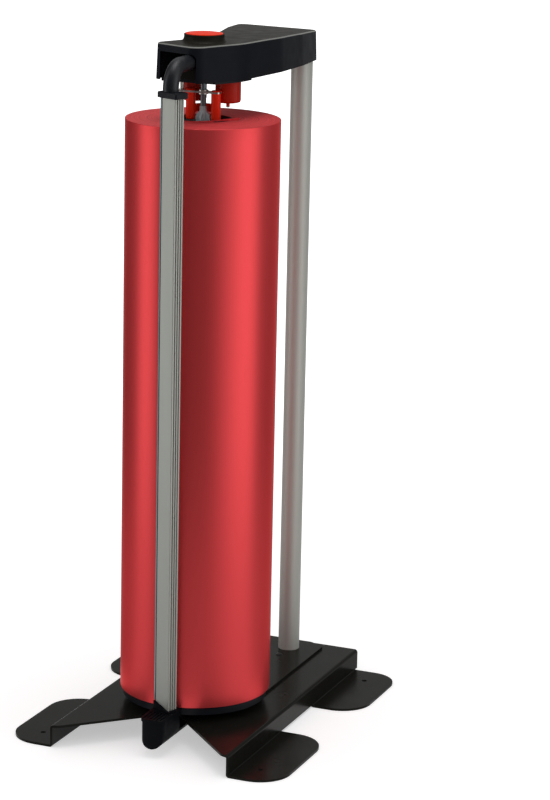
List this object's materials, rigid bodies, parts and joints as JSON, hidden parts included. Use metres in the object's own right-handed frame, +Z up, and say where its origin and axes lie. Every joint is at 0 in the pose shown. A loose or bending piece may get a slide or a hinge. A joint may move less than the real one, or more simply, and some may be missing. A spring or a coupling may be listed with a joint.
{
  "type": "gift wrap paper cutter",
  "caption": "Upright counter stand that holds a roll of gift wrap on a turntable and cuts it along a spring-drawn rail, with a moulded head and a push button",
  "frame": {"origin": "centre of the four fixing holes, on the counter that the feet stand on", "axes": "+X to the user's right, +Y to the back where the column stands, +Z up along the roll"},
  "size_m": [0.358, 0.421, 0.8489],
  "materials": {
    "black_steel": "satin black powder coat",
    "satin_aluminium": "satin anodised",
    "bright_steel": "zinc plated",
    "dark_screws": "black oxide",
    "black_plastic": "fine satin moulding",
    "grey_plastic": "smooth moulding",
    "red_plastic": "glossy moulding",
    "button_red": "polished moulding",
    "red_paper": "coated wrapping paper, wound tight",
    "core_board": "wound grey board"
  },
  "bodies": {
    "stand": {"base_plate": "black_steel", "column_plate": "black_steel", "plate_screws": "dark_screws", "column_tube": "satin_aluminium", "column_anchor": "bright_steel", "column_bolt": "bright_steel", "turntable_axle": "bright_steel", "thrust_washer": "grey_plastic", "head_shell": "black_plastic", "head_chassis": "black_plastic", "chassis_screws": "dark_screws", "shell_pillars": "black_plastic", "column_clamp": "satin_aluminium", "clamp_screw": "dark_screws", "button_seat": "black_plastic", "button_spring": "bright_steel", "strip_guide_pin": "bright_steel", "spring_cups": "red_plastic", "lifter_springs": "bright_steel", "spindle_bush": "grey_plastic", "bar_keepers": "black_plastic", "pull_springs": "bright_steel", "head_anchor": "bright_steel", "base_anchor": "bright_steel", "arm_guides": "black_plastic"},
    "roll": {"turntable": "black_plastic", "paper_roll": "red_paper", "roll_core": "core_board", "core_plug": "black_plastic"},
    "lifter": {"crosshead": "bright_steel", "pin_clips": "bright_steel", "spring_pins": "red_plastic", "cross_strip": "bright_steel", "finger_grip": "red_plastic", "grip_caps": "red_plastic"},
    "spindle": {"spindle_rod": "bright_steel", "star_tip": "grey_plastic", "rod_clips": "bright_steel"},
    "button": {"button_cap": "button_red"},
    "latch": {"latch_slide": "bright_steel"},
    "cutter": {"cutting_rail": "satin_aluminium", "cutter_blade": "bright_steel", "rail_cap": "black_plastic", "elbow_arm": "black_plastic", "slide_bar": "black_steel", "lower_arm": "black_plastic"}
  },
  "joints": [
    {"name": "roll_turn", "type": "hinge", "parent": "stand", "child": "roll", "pos_m": [0, -0.043, 0.04], "axis": [0, 0, 1], "continuous": true},
    {"name": "spindle_lift", "type": "slide", "parent": "stand", "child": "lifter", "axis": [0, 0, 1], "range_m": [0, 0.0105], "stiffness_N_per_m": 600, "springref_m": -0.01, "deforming": ["lifter_springs"]},
    {"name": "spindle_turn", "type": "hinge", "parent": "lifter", "child": "spindle", "pos_m": [0, -0.043, 0.76], "axis": [0, 0, 1], "continuous": true},
    {"name": "button_press", "type": "slide", "parent": "stand", "child": "button", "axis": [0, 0, -1], "range_m": [0, 0.004], "stiffness_N_per_m": 500, "springref_m": -0.003, "deforming": ["button_spring"]},
    {"name": "latch_draw", "type": "slide", "parent": "stand", "child": "latch", "axis": [-1, 0, 0], "range_m": [0, 0.002]},
    {"name": "cutter_pull", "type": "slide", "parent": "stand", "child": "cutter", "axis": [0, -1, 0], "range_m": [0, 0.025], "stiffness_N_per_m": 150, "springref_m": -0.03, "deforming": ["pull_springs"]}
  ],
  "couplings": [
    {"joint": "spindle_turn", "follows": "roll_turn", "ratio": 1},
    {"joint": "latch_draw", "follows": "button_press", "ratio": 0.5}
  ]
}
